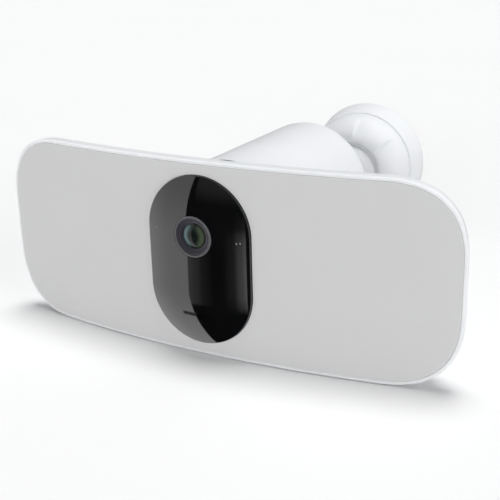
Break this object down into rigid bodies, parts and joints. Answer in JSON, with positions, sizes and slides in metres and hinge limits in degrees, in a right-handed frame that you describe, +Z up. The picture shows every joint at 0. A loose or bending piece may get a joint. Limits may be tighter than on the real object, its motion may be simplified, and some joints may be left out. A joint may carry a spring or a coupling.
{
  "type": "floodlight security camera",
  "caption": "Wide oval floodlight with an upright black camera window, a battery pod behind it and a ball-jointed round wall mount.",
  "frame": {"origin": "centre of the mount's back face, on the wall", "axes": "+Y into the wall, +Z up, +X to the viewer's right when facing the lamp; the lamp looks along -Y"},
  "size_m": [0.343, 0.305, 0.134],
  "materials": {
    "white_plastic": "satin, cool white",
    "foam": "closed-cell foam",
    "steel": "satin",
    "black_plastic": "fine matte",
    "nylon": "matte",
    "ball_plastic": "satin off-white",
    "rubber": "matte",
    "brass": "satin",
    "button_grey": "satin",
    "diffuser": "frosted, light grey",
    "aluminium": "brushed",
    "led_board": "white solder mask",
    "led_emitter": "phosphor yellow",
    "reflector": "diffuse white",
    "gloss_black": "high gloss black",
    "lens_trim": "satin light grey",
    "lens_cover": "coated glass over black",
    "lens_glass": "clear, coated",
    "sensor": "gloss",
    "circuit_board": "green solder mask",
    "chips": "matte",
    "battery": "textured"
  },
  "bodies": {
    "wall_mount": {"mount_gasket": "foam", "wall_plate": "steel", "mount_base": "white_plastic", "base_set_screw": "steel"},
    "collar": {"locking_collar": "white_plastic", "collar_ring": "ball_plastic"},
    "liner": {"ball_liner": "nylon"},
    "ball": {"ball_stud": "ball_plastic", "swivel_washer": "rubber"},
    "pod": {"pod_housing": "white_plastic", "thread_insert": "brass", "pod_seal": "rubber", "release_spring": "steel"},
    "release": {"release_button": "button_grey"},
    "head": {"rear_housing": "white_plastic", "light_diffuser": "diffuser", "diffuser_seal": "rubber", "housing_screws": "steel", "heat_spreader_left": "aluminium", "heat_spreader_right": "aluminium", "led_board_left": "led_board", "led_board_right": "led_board", "leds_left": "led_emitter", "leds_right": "led_emitter", "reflector_left": "reflector", "reflector_right": "reflector", "camera_frame": "black_plastic", "camera_window": "gloss_black", "window_seal": "rubber", "slot_grille": "black_plastic", "lens_ring": "lens_trim", "lens_cover": "lens_cover", "lens_barrel": "black_plastic", "lens_elements": "lens_glass", "lens_holder": "black_plastic", "image_sensor": "sensor", "camera_board": "circuit_board", "night_leds": "sensor", "light_sensor": "sensor", "microphones": "steel", "motion_sensor": "steel", "status_light": "led_emitter", "speaker": "black_plastic", "siren": "black_plastic", "core_chassis": "black_plastic", "core_screws": "steel", "core_end_cap": "black_plastic", "battery_pack": "battery", "battery_contacts": "brass", "main_board": "circuit_board", "board_chips": "chips", "board_shield": "steel", "antennas": "brass", "charge_port": "black_plastic", "charge_contacts": "brass", "sync_spring": "steel"},
    "sync": {"sync_button": "button_grey"}
  },
  "joints": [
    {"name": "collar_turn", "type": "hinge", "parent": "wall_mount", "child": "collar", "pos_m": [0, -0.036, 0], "axis": [0, -1, 0], "range_deg": [0, 360]},
    {"name": "ball_pan", "type": "hinge", "parent": "wall_mount", "child": "liner", "pos_m": [0, -0.034, 0], "axis": [0, 0, 1], "range_deg": [-25, 25]},
    {"name": "ball_tilt", "type": "hinge", "parent": "liner", "child": "ball", "pos_m": [0, -0.034, 0], "axis": [1, 0, 0], "range_deg": [-25, 25]},
    {"name": "neck_roll", "type": "hinge", "parent": "ball", "child": "pod", "pos_m": [0, -0.124, 0], "axis": [0, -1, 0], "continuous": true},
    {"name": "head_pull", "type": "slide", "parent": "pod", "child": "head", "axis": [0, -1, 0], "range_m": [0, 0.13]},
    {"name": "release_press", "type": "slide", "parent": "pod", "child": "release", "axis": [0, 0, 1], "range_m": [0, 0.002], "stiffness_N_per_m": 600, "springref_m": -0.001, "deforming": ["release_spring"]},
    {"name": "sync_press", "type": "slide", "parent": "head", "child": "sync", "axis": [0, -1, 0], "range_m": [0, 0.0012], "stiffness_N_per_m": 500, "springref_m": -0.001, "deforming": ["sync_spring"]}
  ]
}
